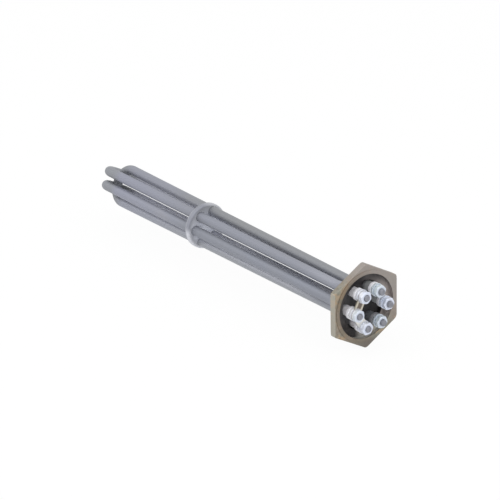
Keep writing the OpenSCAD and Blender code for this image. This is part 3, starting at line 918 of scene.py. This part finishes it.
link = {
    "width": 7.4, "eye": 4.7, "hole": 2.65, "round": 0.18, "eyeSides": 56, "holeSides": 40, "cutPast": 1,
    "sharp": 40.0,
    "look": {
        "cool": (0.50, 0.46, 0.38), "pale": (0.64, 0.60, 0.51), "dull": (0.30, 0.25, 0.19),
        "castShadow": (0.12, 0.088, 0.07), "castShadowTurn": 153.0, "castShadowSize": (0.0030, 0.0072),
        "castShadowShare": 0.9, "lightPart": (0.88, 0.87, 0.82), "litBarTurn": 213.0,
        "litBarSize": (0.0055, 0.0100), "litBarShare": 0.8,
        "fade": (0.0009, 0.0027), "wander": (0.0012, 0.002),
        "eyes": {"tone": (0.74, 0.75, 0.80), "x": 0.012, "reach": (0.0046, 0.0058),
                 "shares": {1: 0.75, 4: 0.75, 5: 0.75}},
        "metal": 0.85, "castShadowMetal": 0.3, "rough": 0.32}}


def tarnishAndPaintedLightStrip(look):
    f = Finish("link_tarnish_and_painted_light")
    blot, fine = f.cloud(*bright["blot"]), f.cloud(*bright["fine"])
    tone = f.mix(blot.ramp(*bright["paleBand"]), look["cool"], look["pale"])
    tone = f.mix(fine.ramp(*bright["dullBand"]), tone, look["dull"])
    middle = layout["terminalRadius"] * math.cos(math.pi / 6) * mm

    # the middle of one bar of the strip, with a broken edge
    def onBar(degrees, half, length):
        a = math.radians(degrees)
        across = (f.y * math.cos(a) + f.z * math.sin(a) - middle).size() + blot * look["wander"][0]
        along = (f.z * math.cos(a) - f.y * math.sin(a)).size() + blot * look["wander"][1]
        return across.ramp(half, half - look["fade"][0]) * along.ramp(length, length - look["fade"][1])
    # painted shadow in the middle of the bar between terminals 1 and 4, and painted light on the bar between
    # 4 and 5
    castShadow = onBar(look["castShadowTurn"], *look["castShadowSize"])
    tone = f.mix(onBar(look["litBarTurn"], *look["litBarSize"]) * look["litBarShare"], tone, look["lightPart"])
    tone = f.mix(castShadow * look["castShadowShare"], tone, look["castShadow"])
    tone = f.atTerminals(tone, look["eyes"])
    return f.set({"Base Color": tone, "Metallic": look["metal"] - castShadow * look["castShadowMetal"],
                  "Roughness": look["rough"] + blot * bright["blotRough"] + fine * bright["fineRough"],
                  "Normal": f.bump(fine, *bright["bump"])})


def barForm(degrees, low, high):
    half, middle = layout["terminalRadius"] / 2, layout["terminalRadius"] * math.cos(math.pi / 6)
    out, along = Vector(radial(0, 1, degrees)), Vector(radial(0, 1, degrees + 90))
    verts = []
    for x in (low, high):
        for s, t in ((-1, -1), (1, -1), (1, 1), (-1, 1)):
            across = out * (middle + s * link["width"] / 2)
            verts.append(tuple(Vector((x, 0, 0)) + across + along * (t * half)))
    faces = [(0, 1, 2, 3), (4, 5, 6, 7), (0, 1, 5, 4), (1, 2, 6, 5), (2, 3, 7, 6), (3, 0, 4, 7)]
    return verts, faces


def makeLink(material):
    low, high = layout["washerTop"], layout["linkTop"]
    body = keepMesh("starLink", barForm(turns[1] + 30, low, high), material, link["sharp"])
    carve(body, barForm(turns[4] + 30, low, high), "UNION", link["sharp"])
    for k in layout["linked"]:
        carve(body, rodForm(low, high, link["eye"], link["eyeSides"], onTerminal(k)), "UNION", link["sharp"])
    ends = low - link["cutPast"], high + link["cutPast"]
    holes = gather(rodForm(*ends, link["hole"], link["holeSides"], onTerminal(k)) for k in layout["linked"])
    carve(body, holes, "DIFFERENCE", link["sharp"], link["round"])
    return fit(body, "link_brass", "star_link")


makeLink(tarnishAndPaintedLightStrip(link["look"]))
print("link made")


# finishes on the solids that stay

powderLook = {"first": (0.78, 0.77, 0.73), "second": (0.70, 0.69, 0.65), "speck": (0.6, 0.58, 0.55),
              "rough": 0.85, "gloss": 0.3}
coilLook = {"cool": (0.20, 0.19, 0.18), "pale": (0.27, 0.26, 0.25), "dull": (0.12, 0.11, 0.11),
            "metal": 1.0, "rough": 0.45}
powderBody = dryBody("pressed_powder", powderLook)
coilWire = brightPlate("coil_wire", coilLook)
for part in ("upper", "lower", "cross"):
    for node, material in (("powder_" + part, powderBody), ("coil_" + part, coilWire)):
        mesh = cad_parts[node].data
        mesh.materials.clear()
        mesh.materials.append(material)
print("finishes on the inner solids")


# floor, light and camera

studio = {"floor": -0.0347, "size": 12.0, "floorTone": (0.85, 0.85, 0.85), "floorRough": 0.9, "shadow": 0.06,
          "worldLight": 1.0, "white": (1.0, 1.0, 1.0)}
lamps = {"keyLight": {"place": (-0.3, -0.9, 1.4), "size": 1.2, "power": 6.0},
         "fillLight": {"place": (1.2, 0.2, 0.9), "size": 1.0, "power": 4.0}}
view = {"azimuth": 53.32, "elevation": 23.36, "roll": -1.28, "distance": 2.2,
        "target": (-0.13838, 0.0, -0.00192), "focal": 2798.36, "width": 500.0, "sensor": 36.0,
        "farthest": 50.0}


# 1 where the camera or a reflection meets the surface, 0 where it lights the part
def seenDirectly(nodes):
    rays = [nodes.add("ShaderNodeLightPath", {}, {}, name)
            for name in ("Is Camera Ray", "Is Glossy Ray", "Is Transmission Ray")]
    return (rays[0] + rays[1] + rays[2]).clip()


def makeFloor():
    f = Finish("studio_floor")
    f.set({"Base Color": studio["floorTone"], "Roughness": studio["floorRough"]})
    glow = f.add("ShaderNodeEmission", {}, {"Color": studio["white"], "Strength": 1.0})
    mixed = f.add("ShaderNodeMixShader", {}, {0: seenDirectly(f) * (1 - studio["shadow"]),
                                              1: Wire(f, f.shader.outputs[0]), 2: glow})
    f.feed(f.tree.nodes["Material Output"].inputs["Surface"], mixed)
    half = studio["size"] / 2 / mm
    drop = studio["floor"] / mm
    corners = [(-half, -half, drop), (half, -half, drop), (half, half, drop), (-half, half, drop)]
    keepMesh("studioFloor", (corners, [(0, 1, 2, 3)]), f.material)


def makeWorld():
    world = bpy.data.worlds.new("studioWorld")
    bpy.context.scene.world = world
    world.use_nodes = True
    w = Nodes(world.node_tree)
    light = w.add("ShaderNodeBackground", {}, {"Color": studio["white"], "Strength": studio["worldLight"]})
    white = w.add("ShaderNodeBackground", {}, {"Color": studio["white"], "Strength": 1.0})
    mixed = w.add("ShaderNodeMixShader", {}, {0: seenDirectly(w), 1: light, 2: white})
    w.feed(w.tree.nodes["World Output"].inputs["Surface"], mixed)


def makeLamp(name, lamp):
    data = bpy.data.lights.new(name, "AREA")
    data.size = lamp["size"]
    data.energy = lamp["power"]
    made = bpy.data.objects.new(name, data)
    made.location = lamp["place"]
    made.rotation_euler = (-Vector(lamp["place"])).to_track_quat("-Z", "Y").to_euler()
    bpy.context.scene.collection.objects.link(made)


def makeCamera():
    a, e, roll = (math.radians(view[key]) for key in ("azimuth", "elevation", "roll"))
    back = Vector((math.sin(a) * math.cos(e), -math.cos(a) * math.cos(e), math.sin(e)))
    level = Vector((math.cos(a), math.sin(a), 0.0))
    rise = back.cross(level)
    right = level * math.cos(roll) + rise * math.sin(roll)
    up = rise * math.cos(roll) - level * math.sin(roll)
    data = bpy.data.cameras.new("photoCamera")
    data.sensor_fit = "HORIZONTAL"
    data.sensor_width = view["sensor"]
    data.lens = view["focal"] * view["sensor"] / view["width"]
    data.clip_end = view["farthest"]
    camera = bpy.data.objects.new("photoCamera", data)
    spot = Matrix((right, up, back)).transposed().to_4x4()
    spot.translation = Vector(view["target"]) + back * view["distance"]
    camera.matrix_world = spot
    bpy.context.scene.collection.objects.link(camera)
    bpy.context.scene.camera = camera


makeFloor()
makeWorld()
for name, lamp in lamps.items():
    makeLamp(name, lamp)
makeCamera()
bpy.context.scene.view_settings.view_transform = "Standard"
print("studio ready")
